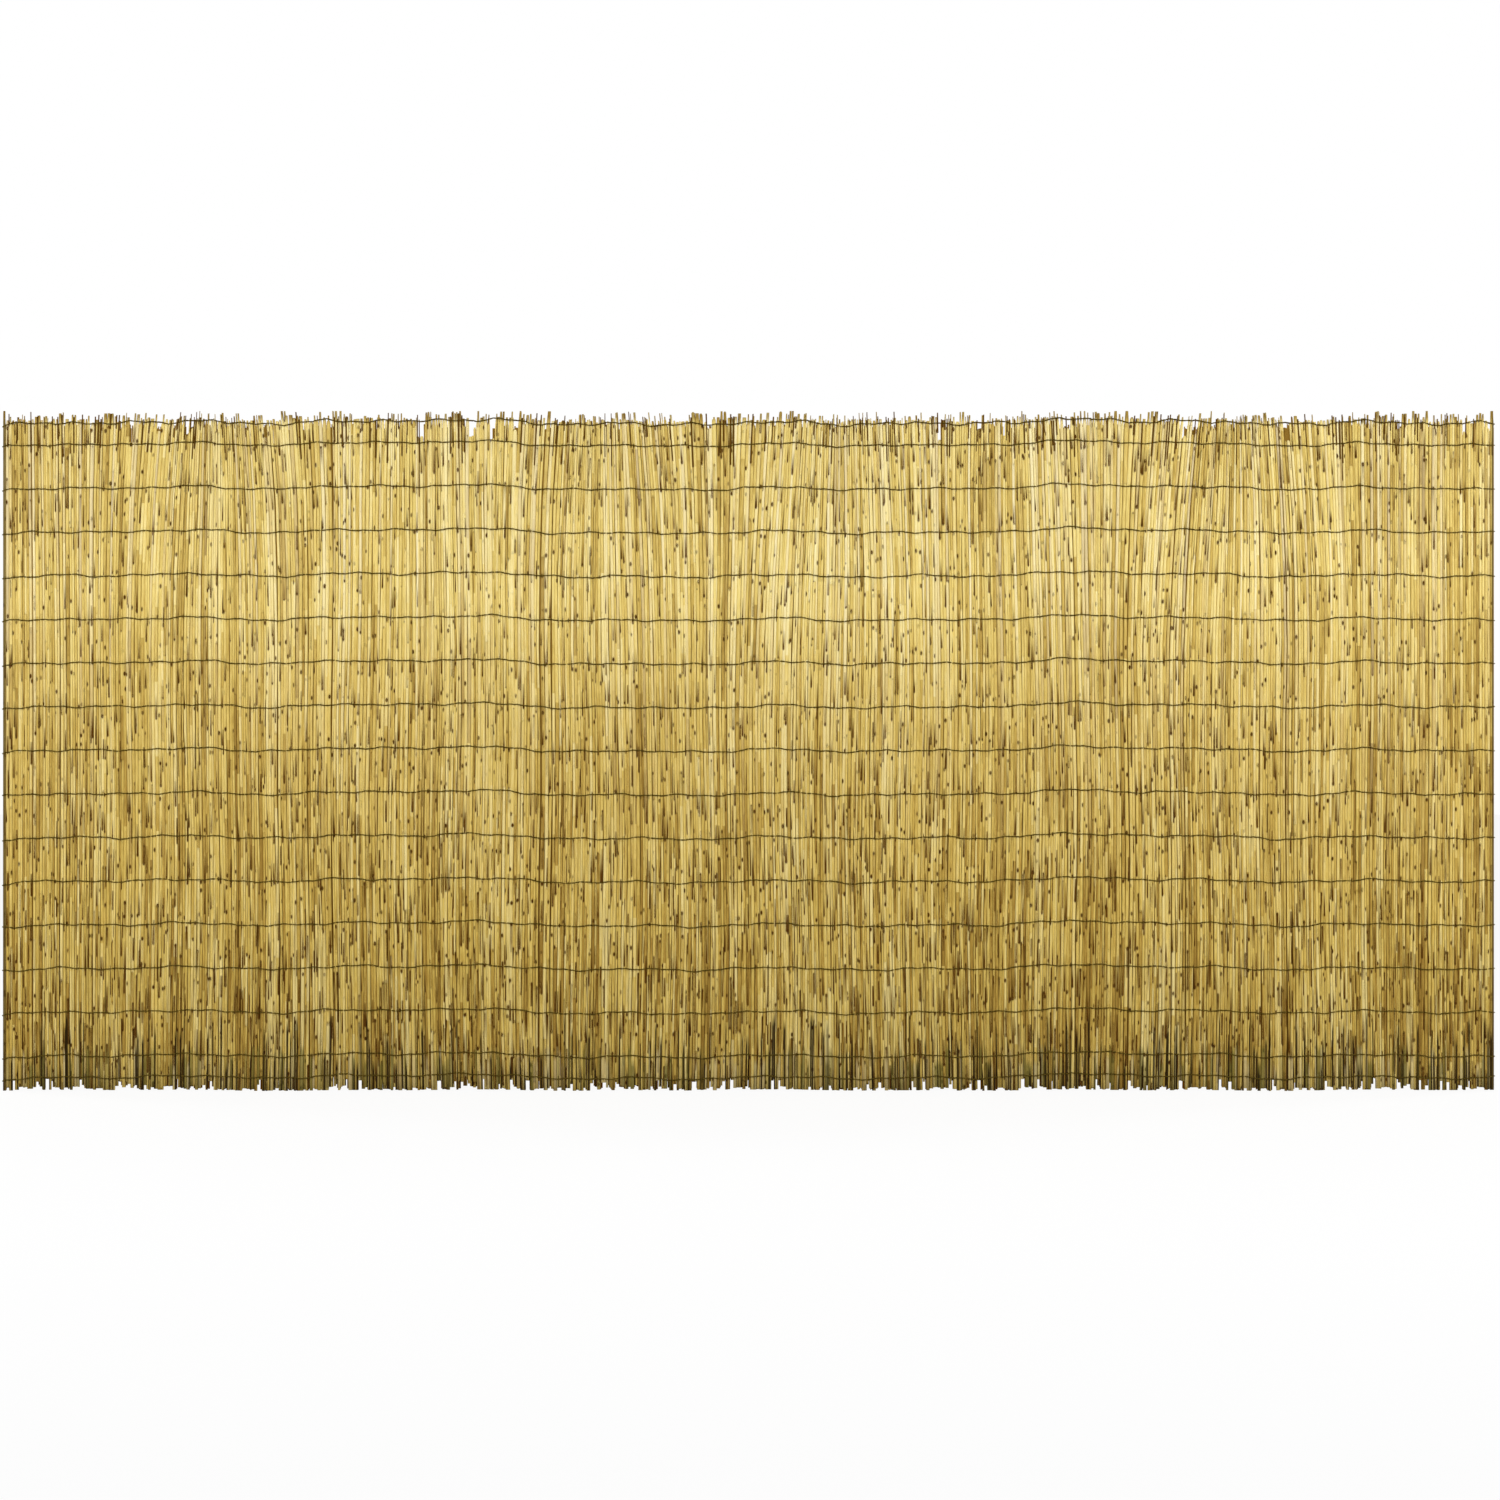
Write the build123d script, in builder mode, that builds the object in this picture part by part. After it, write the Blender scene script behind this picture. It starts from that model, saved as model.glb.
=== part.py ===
"""Garden screen: a mat of dry reed stalks bound edge to edge by rows of twisted steel wire.

The screen stands upright in its own frame: X runs along it, Y through it with the front at -Y,
and Z up. The origin is on the ground, at the middle of the bottom edge. All sizes are millimetres.
"""

import os
import random
from math import cos, pi

from build123d import *

# Driving dimensions of the reed mat
screen_width = 4000.0  # over the two edge reeds
screen_height = 1824.0  # ground to the tallest reed tip
reed_width = 10.2  # mean width of one ridge, which stands for the reeds there, front and back
reed_width_spread = 0.3  # how much wider or narrower a reed can be than the mean, as a share
web_thickness = 5.0  # the mat where two neighbouring reeds press together
ridge_height = 3.5  # how far a reed's crest stands out of that web, on each face

# Driving dimensions of the cut ends
butt_overhang = 38.0  # ground to the lowest binding row
butt_scatter = 9.0  # how unevenly most butts are cut
notch_height = 30.0  # ground to the shortest butts, just under the lowest row
standing_share = 0.4  # share of the reeds whose butts reach the ground
notch_share = 0.3  # chance that a reed is broken off near the lowest row, unless its neighbour is
tip_overhang = 31.0  # highest binding row to the tallest tip
tip_scatter = 8.0  # how far most tips rise past the highest row
spike_share = 0.26  # share of the reeds with a taller tip
snapped_share = 0.1  # share of the reeds that end below the highest row
tip_taper = 24.0  # how far below a tip its reed starts to narrow, at most

# Driving dimensions of the binding
main_row_count = 15  # evenly spaced rows, with one more close to each edge
edge_row_pitch = 58.0  # each edge row to the main row next to it
row_drift = 4.0  # how far a row wanders up and down
drift_waves = 2  # times that it does so along the screen
wire_diameter = 2.8  # across the flats of the drawn section
wire_sides = 6

# Driving dimensions of the gaps, each a dark slit between two front reeds with another reed behind it
gap_count = 60
gap_width = 3.0
gap_to_row = 14.0  # wire to the end of a slit

# Values that follow from the driving dimensions
mat_thickness = web_thickness + 2 * ridge_height
reed_count = round(screen_width / reed_width)
lowest_main_row = butt_overhang + edge_row_pitch
highest_main_row = screen_height - tip_overhang - edge_row_pitch
main_row_pitch = (highest_main_row - lowest_main_row) / (main_row_count - 1)
main_rows = [lowest_main_row + main_row_pitch * row for row in range(main_row_count)]
row_heights = [butt_overhang, *main_rows, screen_height - tip_overhang]

nature = random.Random(4)


# Where each reed starts and ends along the screen
widths = [nature.uniform(1 - reed_width_spread, 1 + reed_width_spread) for _ in range(reed_count)]
edges = [-screen_width / 2]
for width in widths:
    edges.append(edges[-1] + screen_width * width / sum(widths))
reeds = list(zip(edges, edges[1:]))


# How low and how high each reed reaches
def butt_height(neighbour):
    """Many butts stand on the ground, others hang just above it, and some are broken off higher up."""
    kind = nature.random()
    if kind < standing_share:
        return 0.0
    if kind < standing_share + notch_share and neighbour <= butt_scatter:
        return nature.uniform(notch_height - butt_scatter, notch_height)
    return nature.uniform(0, butt_scatter)


def tip_height():
    """Most tips end just past the highest row, some stand taller, and some are snapped off below it."""
    kind = nature.random()
    if kind < spike_share:
        return screen_height - nature.uniform(0, tip_overhang - tip_scatter)
    if kind < spike_share + snapped_share:
        return row_heights[-1] - nature.uniform(tip_scatter, edge_row_pitch)
    return row_heights[-1] + nature.uniform(0, tip_scatter)


# The two edge reeds run the full height, because every row is hooked round them.
inner_reeds = range(reed_count - 2)
butts = [0.0]
for _ in inner_reeds:
    butts.append(butt_height(butts[-1]))
butts.append(0.0)
tips = [screen_height, *(tip_height() for _ in inner_reeds), screen_height]

# Where front reeds stand apart, each time between two main rows. Reeds get thinner upwards, so there are
# more gaps the higher the row.
highest_gap_row = main_row_count - 2
gap_length = main_row_pitch - 2 * gap_to_row
gap_reeds = nature.sample(range(1, reed_count), gap_count)
gap_rows = [round(nature.triangular(0, highest_gap_row, highest_gap_row)) for _ in gap_reeds]
gap_centres = [
    (edges[reed], main_rows[row] + main_row_pitch / 2) for reed, row in zip(gap_reeds, gap_rows)
]


# The reed mat: a ridged plan, trimmed to the ragged outline of its front view
front_face = [(edges[0], -web_thickness / 2)]
for left, right in reeds:
    front_face.append(((left + right) / 2, -mat_thickness / 2))
    front_face.append((right, -web_thickness / 2))
back_face = [(x, -y) for x, y in reversed(front_face)]

lower_edge = [(x, butt) for reed, butt in zip(reeds, butts) for x in reed]
upper_edge = [(edges[0], tips[0]), (sum(reeds[0]) / 2, tips[0])]
for (left, right), tip, tip_before in zip(reeds[1:], tips[1:], tips):
    notch = min(tip, tip_before, row_heights[-1]) - tip_taper * nature.uniform(0.3, 1)
    upper_edge += [(left, notch), ((left + right) / 2, tip)]
upper_edge.append((edges[-1], tips[-1]))


def without_repeats(points):
    """The same outline, where neighbours of one height share a corner."""
    return [point for point, after in zip(points, points[1:] + points[:1]) if point != after]


with BuildPart() as reed_mat:
    with BuildSketch():
        with BuildLine():
            Polyline(*front_face, *back_face, close=True)
        make_face()
    extrude(amount=screen_height)
    with BuildSketch(Plane.XZ):
        with BuildLine():
            Polyline(*without_repeats(lower_edge + upper_edge[::-1]), close=True)
        make_face()
    extrude(amount=mat_thickness, both=True, mode=Mode.INTERSECT)
    with BuildSketch(Plane.XZ):
        with Locations(*gap_centres):
            Rectangle(gap_width, gap_length)
    extrude(amount=mat_thickness, mode=Mode.SUBTRACT)

reed_mat.part.label = "reed_mat"
os.makedirs("parts", exist_ok=True)
export_step(reed_mat.part, "parts/reed_mat.step")


# The binding: in every row one wire along the front and one along the back, which meet at both ends
def drift(x):
    """How far a row has wandered up or down at this place along the screen."""
    return -row_drift * cos(2 * pi * drift_waves * x / screen_width)


wire_offset = mat_thickness / 2 + wire_diameter / 2
wire_end = screen_width / 2 + wire_diameter / 2
turn_count = 2 * drift_waves
turns = [screen_width * (turn / turn_count - 0.5) for turn in range(1, turn_count)]

for row, height in enumerate(row_heights, start=1):
    for face, depth in (("front", -wire_offset), ("back", wire_offset)):
        end_height = height + drift(screen_width / 2)
        with BuildPart() as wire:
            with BuildLine() as route:
                Polyline(
                    (-wire_end, 0, end_height),
                    (-wire_end, depth, end_height),
                    *((x, depth, height + drift(x)) for x in turns),
                    (wire_end, depth, end_height),
                    (wire_end, 0, end_height),
                )
            with BuildSketch(Plane(route.line @ 0, x_dir=(0, 0, 1), z_dir=route.line % 0)):
                RegularPolygon(wire_diameter / 2, wire_sides, major_radius=False)
            sweep(transition=Transition.RIGHT)
        wire.part.label = f"{face}_wire_{row:02d}"
        export_step(wire.part, f"parts/{wire.part.label}.step")
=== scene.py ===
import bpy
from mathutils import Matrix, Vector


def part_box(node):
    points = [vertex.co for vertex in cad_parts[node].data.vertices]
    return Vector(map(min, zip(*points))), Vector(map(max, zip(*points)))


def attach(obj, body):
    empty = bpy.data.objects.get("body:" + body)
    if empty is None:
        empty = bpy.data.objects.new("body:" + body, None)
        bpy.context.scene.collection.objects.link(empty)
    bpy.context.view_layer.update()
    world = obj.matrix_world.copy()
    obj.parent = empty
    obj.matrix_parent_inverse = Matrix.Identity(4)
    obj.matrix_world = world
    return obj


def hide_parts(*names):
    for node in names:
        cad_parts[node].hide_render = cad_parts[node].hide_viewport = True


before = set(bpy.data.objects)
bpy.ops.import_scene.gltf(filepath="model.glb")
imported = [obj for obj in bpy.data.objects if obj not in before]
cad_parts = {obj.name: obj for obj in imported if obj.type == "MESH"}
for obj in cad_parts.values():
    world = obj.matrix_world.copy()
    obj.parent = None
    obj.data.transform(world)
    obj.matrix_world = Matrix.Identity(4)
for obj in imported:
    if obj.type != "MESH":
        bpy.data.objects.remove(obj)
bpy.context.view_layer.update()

import math
import random

import bmesh
import bpy
from mathutils import Matrix, Vector

scene = bpy.context.scene

# The stalks: dry reeds laid side by side, about as thick as a pencil and thinner towards the tip. One layer
# faces the front and one the back, and thinner stalks between the two close the gaps. A ridge of the wall
# that stands for them says how low and how high the stalks reach at that place.
nature = random.Random(12)
wall_low, wall_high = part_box("reed_mat")
half_width = wall_high.x

CREST_TOLERANCE = 0.00001
ridges = {}
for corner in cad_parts["reed_mat"].data.vertices:
    if corner.co.y < wall_low.y + CREST_TOLERANCE:
        ridge = round(corner.co.x, 4)
        foot, tip = ridges.get(ridge, (corner.co.z, corner.co.z))
        ridges[ridge] = (min(foot, corner.co.z), max(tip, corner.co.z))
ridges = sorted((x, foot, tip) for x, (foot, tip) in ridges.items())

WIRE_ROWS = 17
top_row_low, top_row_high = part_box(f"front_wire_{WIRE_ROWS}")
top_row = (top_row_low.z + top_row_high.z) / 2
wire_radius = (wall_low.x - top_row_low.x) / 2
row_drift = (top_row_high.z - top_row_low.z) / 2 - wire_radius

GAP_WIDTHS = (0.001, 0.0035)


def stand_stalks(radii, closeness, gap_chance):
    """Where the stalks of one layer stand from edge to edge, each with its thickness and its own number."""
    radius = nature.uniform(*radii)
    x = -half_width + radius
    while x < half_width - 2 * radii[1]:
        yield x, radius, nature.random()
        thickness = radius
        radius = nature.uniform(*radii)
        x += (thickness + radius) * nature.uniform(*closeness)
        if nature.random() < gap_chance:
            x += nature.uniform(*GAP_WIDTHS)
    yield half_width - radii[1], radii[1], nature.random()


def stalks_of_piece(stalks, piece, pieces):
    """The stalks that stand in one piece of a layer, which is cut into pieces of one width."""
    piece_width = 2 * half_width / pieces
    return [stalk for stalk in stalks if int((stalk[0] + half_width) / piece_width) == piece]


def lay_reed(bm, sides, number, place, foot, tip, foot_radius, tip_radius):
    """One straight stalk. Each corner keeps the stalk's number and which side of the stalk it is on."""
    x, y = place
    middle = Matrix.Translation((x, y, (foot + tip) / 2))
    turned = Matrix.Rotation(nature.uniform(0, math.tau), 4, "Z")
    stalk = bmesh.ops.create_cone(
        bm,
        cap_ends=True,
        segments=sides,
        radius1=foot_radius,
        radius2=tip_radius,
        depth=tip - foot,
        matrix=middle @ turned,
    )
    for corner in stalk["verts"]:
        radius = tip_radius if corner.co.z > (foot + tip) / 2 else foot_radius
        corner[bm.verts.layers.float["stalk"]] = number
        corner[bm.verts.layers.float["side"]] = (corner.co.x - x) / radius


LEAN_START = 1.1
LEAN_REACH = 0.038
SHARED_BEND = 0.0035
OWN_BEND = 0.0012


def sway(x, z, number, lean):
    """How far a stalk leaves its straight line: together with its neighbours, and a little by itself."""
    held = 1 - abs(x / half_width) ** 6
    lift = max(0, (z - LEAN_START) / (wall_high.z - LEAN_START)) ** 2
    slant = LEAN_REACH * math.sin(9.1 * x + 0.6) * math.sin(2.3 * x + 1.9) * lift
    shared = SHARED_BEND * math.sin(math.tau * z / 1.3 + 5 * x)
    alone = OWN_BEND * math.sin(math.tau * (z / 0.6 + 17.3 * number))
    return held * (shared + lean * (slant + alone))


LONG_EDGE = 0.5
STEEP_FACE = 0.5


def bend_reeds(bm, cuts, lean):
    """Bends every stalk a little between the binding rows, and smooths its sides but not its cut ends."""
    long_edges = [e for e in bm.edges if abs(e.verts[0].co.z - e.verts[1].co.z) > LONG_EDGE]
    bmesh.ops.subdivide_edges(bm, edges=long_edges, cuts=cuts)
    for corner in bm.verts:
        corner.co.x += sway(corner.co.x, corner.co.z, corner[bm.verts.layers.float["stalk"]], lean)
    for face in bm.faces:
        face.smooth = abs(face.normal.z) < STEEP_FACE
        if not face.smooth:
            for edge in face.edges:
                edge.smooth = False


def new_reeds():
    """An empty mesh for stalks, with the two numbers that lay_reed notes."""
    bm = bmesh.new()
    bm.verts.layers.float.new("stalk")
    bm.verts.layers.float.new("side")
    return bm


def place_reeds(name, bm):
    """The finished stalks of one mesh, as a piece that replaces its share of the wall."""
    mesh = bpy.data.meshes.new(name)
    bm.to_mesh(mesh)
    bm.free()
    reeds = bpy.data.objects.new(name, mesh)
    scene.collection.objects.link(reeds)
    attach(reeds, "root")
    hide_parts("reed_mat")
    return reeds


WANDER_MOST = 0.009
WIRE_WANDER = 0.7
BUTT_WANDER = 0.25


def wander(x):
    """How far the binding and the butts have slipped up or down together at this place."""
    return 0.005 * math.sin(7.3 * x + 1.1) + 0.004 * math.sin(16.1 * x + 0.4)


def row_shift(x):
    """How far a row has left its level at this place: with the solid wire, and with the stalks."""
    return WIRE_WANDER * wander(x) - row_drift * math.cos(math.tau * x / half_width)


# Longer stalks close about half of the snapped ridges, but fewer to none near one place on either side.
SNAPPED_PLACE = 1.45
SNAPPED_REACH = 0.45
CLOSED_SHARE = 0.5
CLOSED_RISE = 0.002
RIDGE_SEED = 617


def ridge_reach(x):
    """How low and how high the stalks at this place reach."""
    ridge_x, foot, tip = min(ridges, key=lambda ridge: abs(ridge[0] - x))
    snapped = max(0, 1 - ((abs(x) - SNAPPED_PLACE) / SNAPPED_REACH) ** 2)
    if tip < top_row and (RIDGE_SEED * ridge_x) % 1 < CLOSED_SHARE - snapped:
        tip = top_row + CLOSED_RISE
    return foot + BUTT_WANDER * (wander(x) + WANDER_MOST), tip


OUTER_SIDES = 6
END_SIDES = 5
BUTT_SCATTER = 0.006
HIGH_BUTT = 0.015
LOWERED_SHARE = 0.35
TIP_SCATTER = (-0.002, 0.003)
SPIKE_LEVEL = 0.01
SPIKE_SHARE = 0.24
SPIKE_RISE = (0.004, 0.02)
DEPTH_SCATTER = 0.0012
SHOULDER_DROP = (0.002, 0.014)
END_OVERLAP = 0.001


def lay_outer_reed(bm, face, x, radius, number):
    """One stalk of an outer layer, with the narrow end or thin spike that reaches past the highest row."""
    foot, tip = ridge_reach(x)
    foot += nature.choice((0, nature.uniform(0, BUTT_SCATTER)))
    if foot > HIGH_BUTT and nature.random() < LOWERED_SHARE:
        foot *= nature.uniform(0.2, 0.8)
    tip += nature.uniform(*TIP_SCATTER)
    spike = top_row < tip < top_row + SPIKE_LEVEL and nature.random() < SPIKE_SHARE
    if spike:
        tip += nature.uniform(*SPIKE_RISE)
    tip = min(tip + max(0, row_shift(x)), wall_high.z)
    depth = face * (wall_high.y - radius - nature.choice((0, nature.uniform(0, DEPTH_SCATTER))))
    tip_radius = radius * nature.uniform(0.82, 1.0)
    shoulder = min(tip, top_row) - nature.uniform(*SHOULDER_DROP)
    lay_reed(bm, OUTER_SIDES, number, (x, depth), foot, shoulder, radius, tip_radius)
    end_radius = tip_radius * (nature.uniform(0.35, 0.5) if spike else nature.uniform(0.45, 0.9))
    neck_radius = end_radius * 1.3 if spike else tip_radius
    lay_reed(bm, END_SIDES, number, (x, depth), shoulder - END_OVERLAP, tip, neck_radius, end_radius)


OUTER_PIECES = 6
OUTER_RADII = (0.0027, 0.0058)
OUTER_CLOSENESS = (0.74, 0.93)
OUTER_GAP_CHANCE = 0.05
outer_stalks = list(stand_stalks(OUTER_RADII, OUTER_CLOSENESS, OUTER_GAP_CHANCE))
reed_pieces = []
for name, face in (("front_reeds", -1), ("back_reeds", 1)):
    for piece in range(OUTER_PIECES):
        bm = new_reeds()
        for x, radius, number in stalks_of_piece(outer_stalks, piece, OUTER_PIECES):
            lay_outer_reed(bm, face, x, radius, number)
        bend_reeds(bm, cuts=8, lean=1)
        reed_pieces.append(place_reeds(f"{name}_{piece + 1}", bm))

INNER_PIECES = 3
INNER_SIDES = 4
INNER_RADII = (0.0018, 0.0026)
INNER_CLOSENESS = (0.66, 0.8)
INNER_TAPER = 0.95
inner_stalks = list(stand_stalks(INNER_RADII, INNER_CLOSENESS, gap_chance=0))
inner_pieces = []
for piece in range(INNER_PIECES):
    bm = new_reeds()
    for x, radius, number in stalks_of_piece(inner_stalks, piece, INNER_PIECES):
        foot, tip = ridge_reach(x)
        foot += nature.uniform(0.001, 0.006)
        tip = min(tip, top_row) - nature.uniform(0.004, 0.02)
        lay_reed(bm, INNER_SIDES, number, (x, 0), foot, tip, radius, radius * INNER_TAPER)
    bend_reeds(bm, cuts=4, lean=0)
    inner_pieces.append(place_reeds(f"inner_reeds_{piece + 1}", bm))


class Value:
    """One number or colour of a node tree. Arithmetic on it adds the Math nodes that work it out."""

    def __init__(self, nodes, socket):
        self.nodes = nodes
        self.socket = socket

    def math(self, operation, other=0.0):
        return self.nodes.add("ShaderNodeMath", {"operation": operation}, {0: self, 1: other})

    def __add__(self, other):
        return self.math("ADD", other)

    def __sub__(self, other):
        return self.math("SUBTRACT", other)

    def __rsub__(self, other):
        return self.math("MULTIPLY", -1).math("ADD", other)

    def __mul__(self, other):
        return self.math("MULTIPLY", other)

    def __truediv__(self, other):
        return self.math("DIVIDE", other)

    __radd__ = __add__
    __rmul__ = __mul__

    def size(self):
        return self.math("ABSOLUTE")

    def or_more(self, other):
        return self.math("MAXIMUM", other)

    def clamped(self):
        return self.math("MAXIMUM", 0).math("MINIMUM", 1)


class Nodes:
    """The nodes of a material or of the surrounding, which all come from one method."""

    def __init__(self, owner):
        owner.use_nodes = True
        self.tree = owner.node_tree

    def add(self, kind, settings, inputs, *outputs):
        """One new node. Gives the value of its first output, or a list if several outputs are named."""
        node = self.tree.nodes.new(kind)
        for name, setting in settings.items():
            setattr(node, name, setting)
        for place, value in inputs.items():
            self.feed(node, place, value)
        values = [Value(self, node.outputs[output]) for output in outputs or (0,)]
        return values[0] if len(values) == 1 else values

    def feed(self, node, place, value):
        socket = node.inputs[place]
        if isinstance(value, Value):
            self.tree.links.new(value.socket, socket)
        elif isinstance(value, tuple) and len(value) == 3:
            socket.default_value = (*value, 1)
        else:
            socket.default_value = value

    def noise(self, place, scale, detail):
        """A soft pattern over places."""
        return self.add("ShaderNodeTexNoise", {}, {"Vector": place, "Scale": scale, "Detail": detail})

    def ramp(self, value, *stops):
        """A colour that changes with the value, by way of colours at named places."""
        colour = self.add("ShaderNodeValToRGB", {}, {0: value})
        elements = colour.socket.node.color_ramp.elements
        while len(elements) < len(stops):
            elements.new(1)
        for element, (place, shade) in zip(elements, stops):
            element.position = place
            element.color = (*shade, 1)
        return colour

    def mix(self, share, first, second, blend="MIX"):
        settings = {"data_type": "RGBA", "blend_type": blend}
        return self.add("ShaderNodeMix", settings, {0: share, 6: first, 7: second}, 2)

    def finish(self, **inputs):
        """Feeds the material's own shader."""
        for place, value in inputs.items():
            self.feed(self.tree.nodes["Principled BSDF"], place.replace("_", " "), value)


reed_material = bpy.data.materials.new("dry_reed")
reed = Nodes(reed_material)
spot = reed.add("ShaderNodeTexCoord", {}, {}, "Object")
across, through, height = reed.add("ShaderNodeSeparateXYZ", {}, {0: spot}, "X", "Y", "Z")
stalk = reed.add("ShaderNodeAttribute", {"attribute_name": "stalk"}, {}, "Fac")
side = reed.add("ShaderNodeAttribute", {"attribute_name": "side"}, {}, "Fac")


def own(seed):
    """A number from 0 to 1 that is the stalk's own, and another one for each seed."""
    return (stalk * seed).math("FRACT")


def grain(x, y, z, detail):
    """A soft pattern, drawn out along the stalks by what the three values are multiplied by."""
    place = reed.add("ShaderNodeCombineXYZ", {}, {0: x, 1: y, 2: z})
    return reed.noise(place, 1.0, detail)


def chance(x, y, z, output):
    """Chance numbers that differ for any other three values."""
    place = reed.add("ShaderNodeCombineXYZ", {}, {0: x, 1: y, 2: z})
    return reed.add("ShaderNodeTexWhiteNoise", {"noise_dimensions": "3D"}, {0: place}, output)


# A stalk has a joint about every hand's length. Each length between two joints has its own shade, with
# fibres along it. The shades are further apart low down, and a painted shade darkens them high up towards
# the screen's two ends.
JOINT_SEED = 91.3
BLEACHED = (0.9, 0.82, 0.56)
joint_pitch = 0.13 + 0.09 * own(13.7)
length_number = (height / joint_pitch + stalk * JOINT_SEED).math("FLOOR")
length_shade = chance(length_number, stalk * 977, 0.5, "Value")
fibres = grain(across * 600 + stalk * 31, through * 600, height * 8 + stalk * 57, 3.0)
mottle = grain(across * 220 + stalk * 17, through * 220, height * 28 + stalk * 71, 2.0)
patches = grain(across * 8, through, height * 2, 4.0)
low = (1 - height / 1.3).clamped()
# Painted shade: the stalks darken towards the screen's two ends, more so high up.
shaded_ends = ((across.size() - 0.9) / 0.9).clamped() * (height / wall_high.z)
tone = 0.4 * stalk + 0.5 * length_shade + 0.6 * fibres + 0.5 * mottle + 0.5 * patches - 0.75
tone = 0.5 + (tone - 0.5) * (1 + 0.4 * low) - 0.1 * shaded_ends
straw = reed.ramp(
    tone.clamped(),
    (0.0, (0.36, 0.23, 0.05)),
    (0.25, (0.58, 0.41, 0.1)),
    (0.55, (0.8, 0.63, 0.2)),
    (1.0, (0.93, 0.82, 0.43)),
)
bleached = (3 * own(83.7) - 1.9).clamped() * (height - 0.5).clamped()
straw = reed.mix(0.45 * bleached, straw, BLEACHED)

# Buds and leaves have left marks at the joints, more of them low down and close to the top. The dark
# grooves that run from some of them are partly brown leaf marks and partly painted shade.
SMALL_JOINT_SEED = 47.9
GROOVE_BROWN_AND_SHADE = (0.095, 0.036, 0.0)
SCAR_BROWN = (0.075, 0.027, 0.0)
old = 0.9 * low + 0.4 * ((height - 1.4) / 0.3).clamped()


def joint_marks(pitch, seed):
    """Dark bud scars at a stalk's joints, each with a brown rim, and the grooves that run from some."""
    along = height / pitch + stalk * seed
    joint = (along + 0.5).math("FLOOR")
    chances = chance(joint, stalk * 613, seed, "Color")
    scar_chance, groove_chance, reach = reed.add("ShaderNodeSeparateXYZ", {}, {0: chances}, "X", "Y", "Z")
    above = (along - joint) * pitch
    aside = (side - 1.3 * reach + 0.65).size()
    way = above * (1 - 2 * groove_chance.math("LESS_THAN", 0.76))
    # A groove is a dark stroke along the stalk: partly a leaf mark, partly painted shade in the groove.
    groove_mark_and_shade = (1.3 - way / ((0.022 + 0.05 * reach) * (1 + low))).clamped() * way.math("GREATER_THAN", 0)
    groove_mark_and_shade = groove_mark_and_shade * (4 - aside / 0.14).clamped() * (8 * groove_chance - 6.2 + 2.5 * old).clamped()
    width = aside / (0.24 + 0.24 * scar_chance)
    length = above / (0.0016 + 0.003 * scar_chance)
    outward = (width * width + length * length).math("SQRT")
    strength = (10 * (0.9 * scar_chance).or_more(groove_chance) - 7.2 + 2 * old).clamped()
    rim = 0.35 * strength * (2.2 - outward).clamped()
    return strength * (5.5 - 4 * outward).clamped(), groove_mark_and_shade.or_more(rim)


scar, groove_mark_and_shade = joint_marks(joint_pitch, JOINT_SEED)
small_scar, small_groove_mark_and_shade = joint_marks(0.09 + 0.06 * own(29.3), SMALL_JOINT_SEED)
straw = reed.mix(groove_mark_and_shade.or_more(small_groove_mark_and_shade), straw, GROOVE_BROWN_AND_SHADE)
straw = reed.mix(scar.or_more(small_scar), straw, SCAR_BROWN)

# The butts are stained by the damp ground, and painted shade darkens the sides of the stalks low down. Some
# have gone green, and some have nearly black stripes, partly painted shade between the stalks. The reeds at
# the two edges are darkened by painted shade, and the tips are brown. The colour grows darker towards the
# foot and a little at the very top, partly as the butts are darker and partly as painted shade.
DAMP_AND_SHADE_BROWN = (0.12, 0.052, 0.001)
MOSS_GREEN = (0.17, 0.16, 0.04)
CLEAN_STRAW = (0.82, 0.72, 0.44)
STRIPE_AND_SHADE_BLACK = (0.02, 0.009, 0.0)
EDGE_SHADE_BROWN = (0.07, 0.043, 0.01)
TIP_BROWN = (0.2, 0.11, 0.01)
# Low down the damp stain follows the fibres, and painted shade darkens each stalk's two sides.
damp_and_side_shade = (7 * fibres - 3.6).clamped().or_more((4 * side.size() - 2.6).clamped())
straw = reed.mix(low * damp_and_side_shade * 0.7, straw, DAMP_AND_SHADE_BROWN)
stain_top = 0.05 + 0.06 * own(23.9)
near_ground = (1 + (stain_top - height) / 0.02).clamped()
green = (4 * own(71.9) - 2.4).clamped()
straw = reed.mix(near_ground * green * 0.7, straw, MOSS_GREEN)
clean = (5 * own(61.3) - 3.6).clamped()
straw = reed.mix(near_ground * clean * 0.6, straw, CLEAN_STRAW)
# Nearly black stripes on some butts, which partly stand for painted shade between the stalks.
stripe_and_shade = (2.0 - (side - 1.6 * own(53.3) + 0.8).size() / 0.32).clamped() * (6 * own(37.1) - 2.7).clamped()
stripe_top = 0.03 + 0.16 * own(41.7)
stripe_and_shade = stripe_and_shade * (1 + (stripe_top - height) / 0.03).clamped()
straw = reed.mix(stripe_and_shade * 0.96, straw, STRIPE_AND_SHADE_BLACK)
# Painted shade: the reeds at the screen's two edges are darkened.
edge_shade = ((across.size() - half_width) / 0.002 + 4).clamped()
straw = reed.mix(edge_shade * 0.85, straw, EDGE_SHADE_BROWN)
past_top_row = ((height - top_row) / 0.015).clamped()
straw = reed.mix(past_top_row * 0.7, straw, TIP_BROWN)
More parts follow.
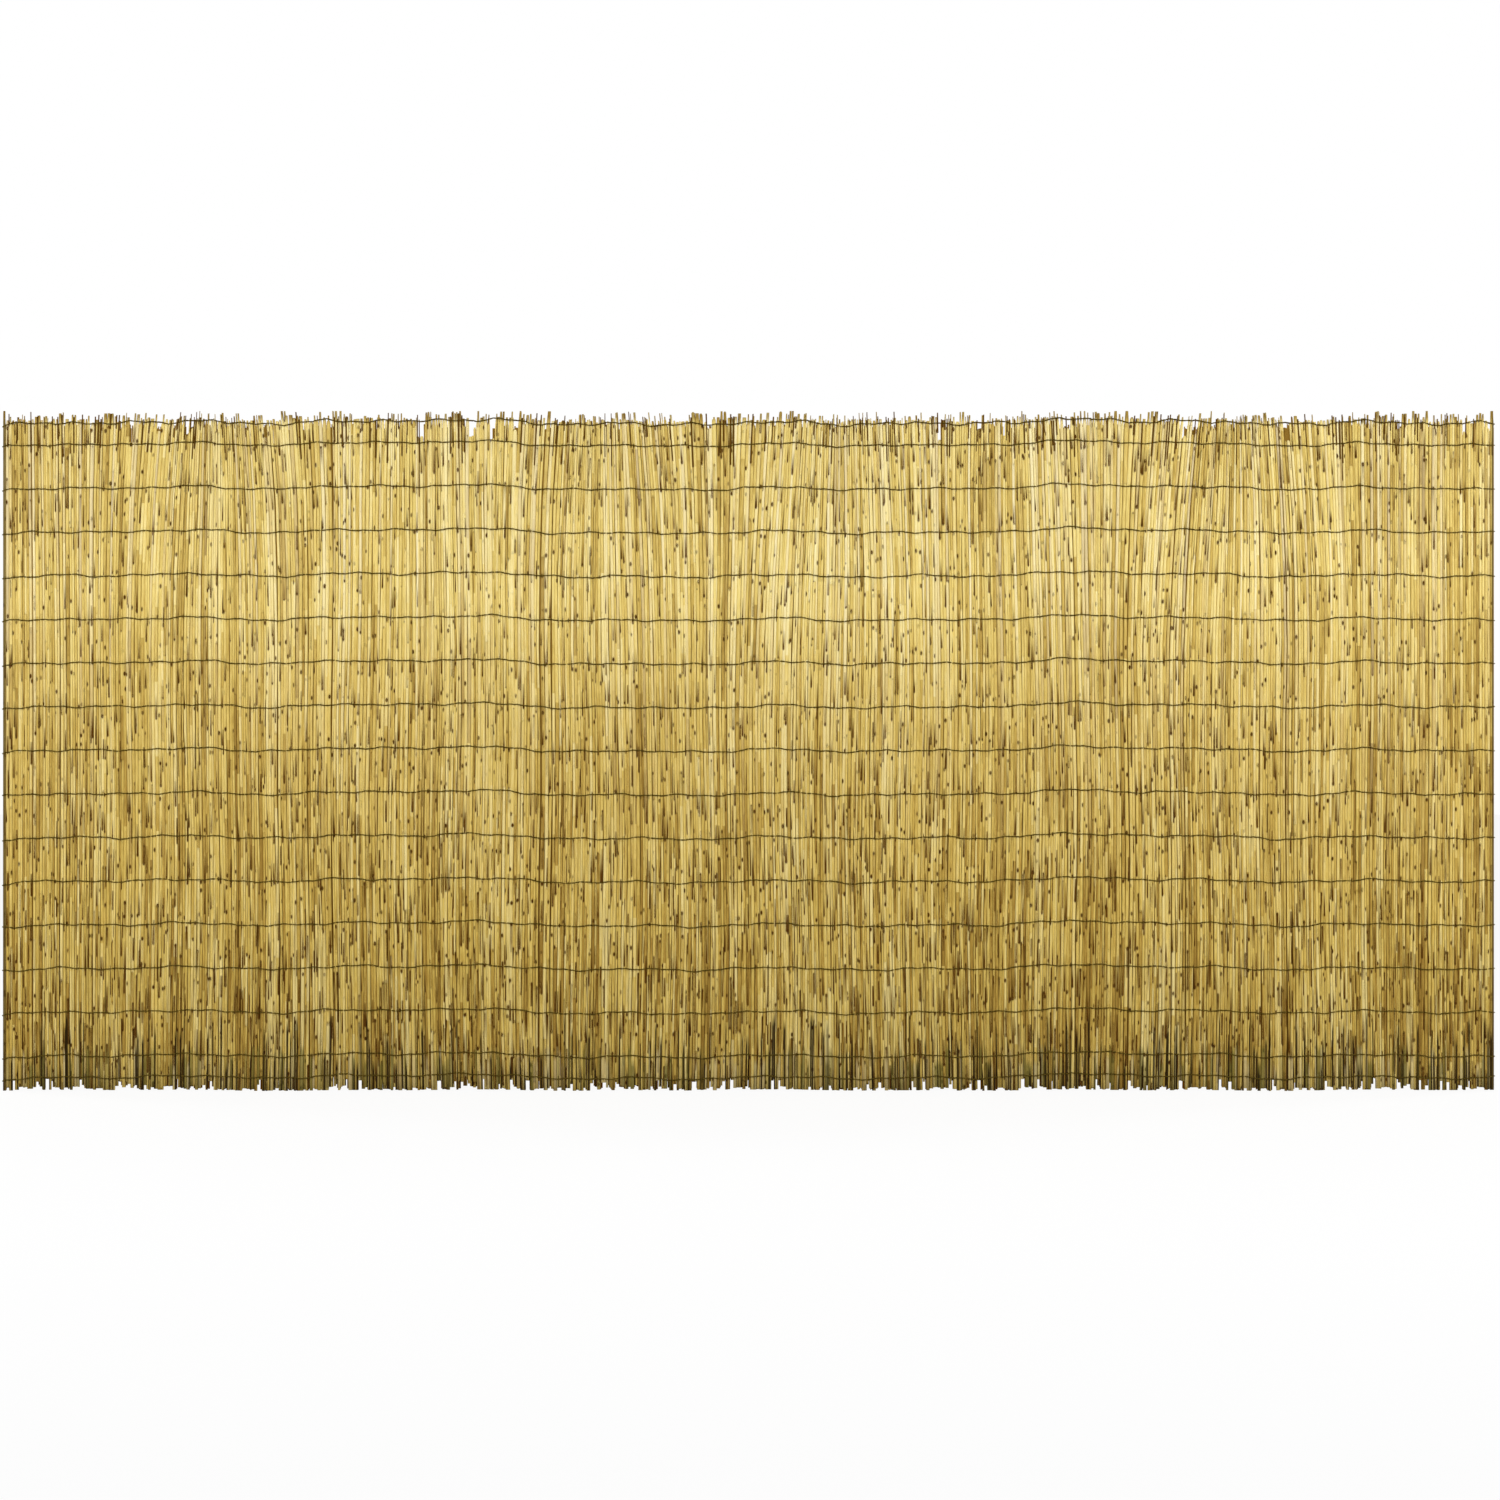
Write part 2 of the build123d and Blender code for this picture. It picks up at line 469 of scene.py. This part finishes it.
# The colour darkens towards the foot and a little at the very top: partly darker butts, partly painted
# shade.
height_tint_and_shade = reed.ramp(
    height / wall_high.z,
    (0.0, (0.47, 0.43, 0.32)),
    (0.022, (0.66, 0.61, 0.47)),
    (0.05, (0.75, 0.7, 0.55)),
    (0.12, (0.79, 0.74, 0.58)),
    (0.27, (0.855, 0.805, 0.645)),
    (0.52, (0.89, 0.85, 0.74)),
    (0.74, (1.0, 1.0, 1.0)),
    (1.0, (0.96, 0.96, 0.97)),
)
straw = reed.mix(1.0, straw, height_tint_and_shade, "MULTIPLY")
relief = reed.add("ShaderNodeBump", {}, {"Strength": 0.4, "Distance": 0.0008, "Height": fibres})
reed.finish(Base_Color=straw, Normal=relief, Roughness=0.65, Specular_IOR_Level=0.06)
for reeds in reed_pieces:
    reeds.data.materials.append(reed_material)

# The inner stalks lie in the shade of the outer ones and show only as dark lines between them. Their dark
# brown, darker low down, is painted shade that deepens those lines.
inner_material = bpy.data.materials.new("inner_reed")
inner = Nodes(inner_material)
inner_spot = inner.add("ShaderNodeTexCoord", {}, {}, "Object")
inner_height = inner.add("ShaderNodeSeparateXYZ", {}, {0: inner_spot}, "Z")
inner_shade_brown = inner.ramp(inner_height / wall_high.z, (0.1, (0.1, 0.035, 0.0)), (0.7, (0.28, 0.16, 0.025)))
inner.finish(Base_Color=inner_shade_brown, Roughness=0.8, Specular_IOR_Level=0.05)
for reeds in inner_pieces:
    reeds.data.materials.append(inner_material)

# Leaf stems: thin dark sticks that are left between the stalks at the top, where the leaves have gone.
# Some of them are taller than the stalks' own tips.
STEMS = 150
STEM_SIDES = 5
STEM_RADIUS = 0.002
STEM_TIP_RADIUS = 0.0016
STEM_BROWN = (0.11, 0.048, 0.003)
bm = new_reeds()
for x, radius, number in nature.sample(outer_stalks[1:-1], STEMS):
    tip = nature.triangular(top_row, wall_high.z, top_row + 0.014)
    foot = top_row - nature.uniform(0.01, 0.12)
    place = (x + radius, wall_low.y + STEM_RADIUS)
    lay_reed(bm, STEM_SIDES, number, place, foot, tip, STEM_RADIUS, STEM_TIP_RADIUS)
bend_reeds(bm, cuts=0, lean=1)
stems = place_reeds("leaf_stems", bm)
stem_material = bpy.data.materials.new("leaf_stem")
Nodes(stem_material).finish(Base_Color=STEM_BROWN, Roughness=0.8, Specular_IOR_Level=0.05)
stems.data.materials.append(stem_material)

# The binding: in every row two soft steel wires, brown with weather, twisted half a turn about each other
# in every groove that they cross, so that each lies in front of one bunch of stalks and behind the next.
wire_material = bpy.data.materials.new("weathered_wire")
wire = Nodes(wire_material)
wire_spot = wire.add("ShaderNodeTexCoord", {}, {}, "Object")
wire_patches = wire.noise(wire_spot, 160.0, 2.0)
rust = wire.ramp(wire_patches, (0.3, (0.055, 0.034, 0.003)), (0.7, (0.13, 0.088, 0.012)))
wire.finish(Base_Color=rust, Roughness=0.75, Metallic=0.2, Specular_IOR_Level=0.05)

BUNCH_WIDTHS = (0.004, 0.013)
KINK = 0.0016
TOP_ROW_KINK = 0.0025
TWIST_REACH = 0.8
WIRE_THICKENING = 1.2
for row in range(1, WIRE_ROWS + 1):
    front_low, front_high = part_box(f"front_wire_{row:02d}")
    level = (front_low.z + front_high.z) / 2
    reach_out = -front_low.y - wire_radius
    phases = [nature.uniform(0, math.tau) for _ in range(3)]
    kink = TOP_ROW_KINK if row == WIRE_ROWS else KINK

    def row_height(x):
        """The row's height at a place along the screen: it follows the stalks up and down."""
        waves = math.sin(x / 0.026 + phases[0]) + 0.9 * math.sin(x / 0.041 + phases[1])
        return level + row_shift(x) + kink * (waves + 0.9 * math.sin(x / 0.012 + phases[2]))

    places = sorted(x + sway(x, level, number, 1.0) for x, _, number in outer_stalks)
    crossings = [wall_low.x - wire_radius]
    for left, right in zip(places, places[1:]):
        if (left + right) / 2 - crossings[-1] > nature.uniform(*BUNCH_WIDTHS):
            crossings.append((left + right) / 2)
    crossings[-1] = wall_high.x + wire_radius

    wires = bpy.data.curves.new(f"binding_{row:02d}", "CURVE")
    wires.dimensions = "3D"
    wires.bevel_depth = WIRE_THICKENING * wire_radius
    wires.bevel_resolution = 0
    wires.resolution_u = 2
    for strand in (1, -1):
        route = []
        face = -strand
        for start, end in zip(crossings, crossings[1:]):
            route.append((start, 0, row_height(start) + strand * face * wire_radius * TWIST_REACH))
            for share in (0.2, 0.8):
                x = start + share * (end - start)
                route.append((x, face * reach_out, row_height(x)))
            face = -face
        route.append((crossings[-1], 0, row_height(crossings[-1])))
        spline = wires.splines.new("NURBS")
        spline.points.add(len(route) - 1)
        for point, stop in zip(spline.points, route):
            point.co = (*stop, 1)
        spline.order_u = 3
        spline.use_endpoint_u = True
    pattern = bpy.data.objects.new("binding_route", wires)
    mesh = bpy.data.meshes.new_from_object(pattern)
    bpy.data.objects.remove(pattern)
    mesh.name = f"binding_{row:02d}"
    binding = bpy.data.objects.new(mesh.name, mesh)
    scene.collection.objects.link(binding)
    binding.data.materials.append(wire_material)
    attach(binding, "root")
    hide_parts(f"front_wire_{row:02d}", f"back_wire_{row:02d}")

# The floor: a plain pale sheet that the screen stands on, with a white surrounding behind it
FLOOR_SIZE = 60
WHITENESS = 0.9
floor_mesh = bpy.data.meshes.new("floor")
bm = bmesh.new()
bmesh.ops.create_grid(bm, x_segments=1, y_segments=1, size=FLOOR_SIZE)
bm.to_mesh(floor_mesh)
bm.free()
floor = bpy.data.objects.new("floor", floor_mesh)
scene.collection.objects.link(floor)
floor_material = bpy.data.materials.new("pale_floor")
ground = Nodes(floor_material)
ground.finish(Base_Color=(0.9, 0.9, 0.9), Roughness=0.9)
seen_by = ("Is Camera Ray", "Is Glossy Ray", "Is Transmission Ray")
straight, glossy, through_glass = ground.add("ShaderNodeLightPath", {}, {}, *seen_by)
white = ground.add("ShaderNodeEmission", {}, {"Strength": 1.0})
plain = Value(ground, ground.tree.nodes["Principled BSDF"].outputs[0])
white_share = WHITENESS * (straight + glossy + through_glass).clamped()
lit = ground.add("ShaderNodeMixShader", {}, {0: white_share, 1: plain, 2: white})
ground.feed(ground.tree.nodes["Material Output"], "Surface", lit)
floor.data.materials.append(floor_material)

# Soft studio light: an even white surrounding, and a large lamp high up at each corner, weaker behind
LAMP_SIZE = 3.0
LAMP_ASIDE, LAMP_AWAY, LAMP_HEIGHT = 7.5, 5.5, 4.5
LAMP_AIM = Vector((0, 0, 0.9))
LEFT_POWER, RIGHT_POWER, BACK_POWER = 425, 475, 250
SURROUNDING_POWER = 0.42
scene.view_settings.view_transform = "Standard"
scene.world = bpy.data.worlds.new("studio")
studio = Nodes(scene.world)
seen = studio.add("ShaderNodeLightPath", {}, {}, "Is Camera Ray")
studio.feed(studio.tree.nodes["Background"], "Color", (1, 1, 1))
white_power = SURROUNDING_POWER + (1 - SURROUNDING_POWER) * seen
studio.feed(studio.tree.nodes["Background"], "Strength", white_power)
for right, back, power in (
    (-1, -1, LEFT_POWER),
    (1, -1, RIGHT_POWER),
    (-1, 1, BACK_POWER),
    (1, 1, BACK_POWER),
):
    lamp = bpy.data.lights.new("softbox", "AREA")
    lamp.shape = "DISK"
    lamp.size = LAMP_SIZE
    lamp.energy = power
    softbox = bpy.data.objects.new("softbox", lamp)
    softbox.location = (right * LAMP_ASIDE, back * LAMP_AWAY, LAMP_HEIGHT)
    aim = LAMP_AIM - softbox.location
    softbox.rotation_euler = aim.to_track_quat("-Z", "Y").to_euler()
    scene.collection.objects.link(softbox)

# The camera stands square in front of the screen, far off, as the picture has next to no perspective.
DISTANCE = 14.0
PICTURE = 1500
SCREEN_LEFT, SCREEN_RIGHT = 3, 1494
SCREEN_TOP, SCREEN_BOTTOM = 411, 1091
metres_per_pixel = (wall_high.x - wall_low.x) / (SCREEN_RIGHT - SCREEN_LEFT)
view = bpy.data.cameras.new("camera")
view.sensor_fit = "HORIZONTAL"
view.sensor_width = 36
view.lens = view.sensor_width * DISTANCE / (metres_per_pixel * PICTURE)
view.clip_end = 200
camera = bpy.data.objects.new("camera", view)
aside = (PICTURE / 2 - (SCREEN_LEFT + SCREEN_RIGHT) / 2) * metres_per_pixel
above = ((SCREEN_TOP + SCREEN_BOTTOM) / 2 - PICTURE / 2) * metres_per_pixel
camera.location = (aside, -DISTANCE, wall_high.z / 2 + above)
camera.rotation_euler = (math.pi / 2, 0, 0)
scene.collection.objects.link(camera)
scene.camera = camera
